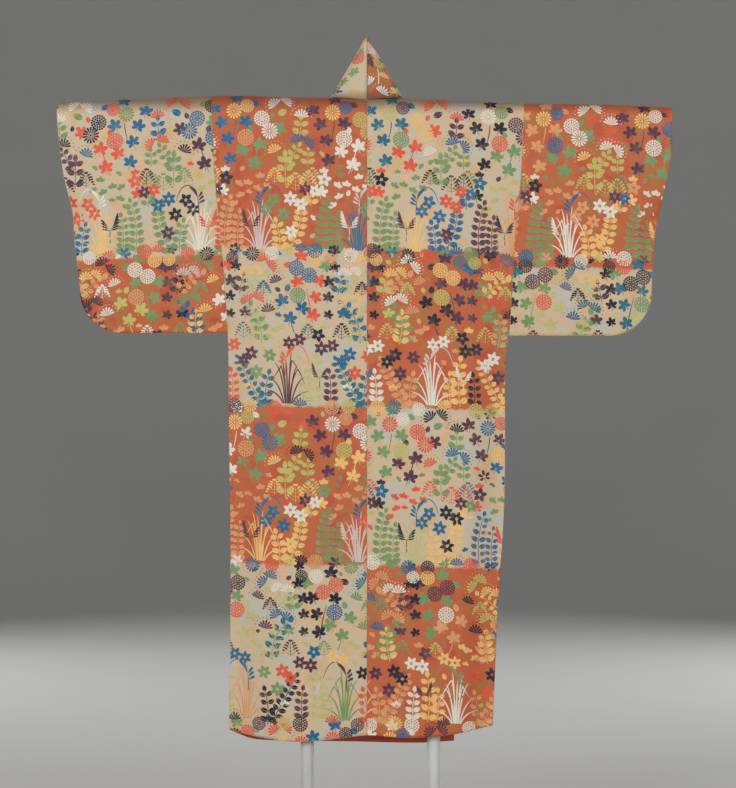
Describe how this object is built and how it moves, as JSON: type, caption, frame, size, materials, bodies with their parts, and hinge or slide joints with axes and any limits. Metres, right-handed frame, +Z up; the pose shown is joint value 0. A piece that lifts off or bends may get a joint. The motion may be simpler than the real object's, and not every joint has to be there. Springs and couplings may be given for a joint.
{
  "type": "noh robe on a display stand",
  "caption": "Woven silk noh robe in kosode cut with round sleeve corners, hung flat by its sleeves over the padded bar of a stand on a floor plate, its back to the viewer.",
  "frame": {"origin": "on the floor under the middle of the whole part", "axes": "+X to the right as the robe's back is seen, +Y from its back to its front, +Z up"},
  "size_m": [1.404, 0.42, 1.8833],
  "materials": {
    "brocade": "silk brocade in red and cream blocks with woven flowers",
    "padded_bar": "plain cotton cover",
    "grey_paint": "satin grey"
  },
  "bodies": {
    "root": {"body_left": "brocade", "body_right": "brocade", "overlap_left": "brocade", "overlap_right": "brocade", "sleeve_left": "brocade", "sleeve_right": "brocade", "collar_left": "brocade", "collar_right": "brocade", "crossbar": "padded_bar", "post_left": "grey_paint", "post_right": "grey_paint", "base_plate": "grey_paint"}
  },
  "joints": []
}
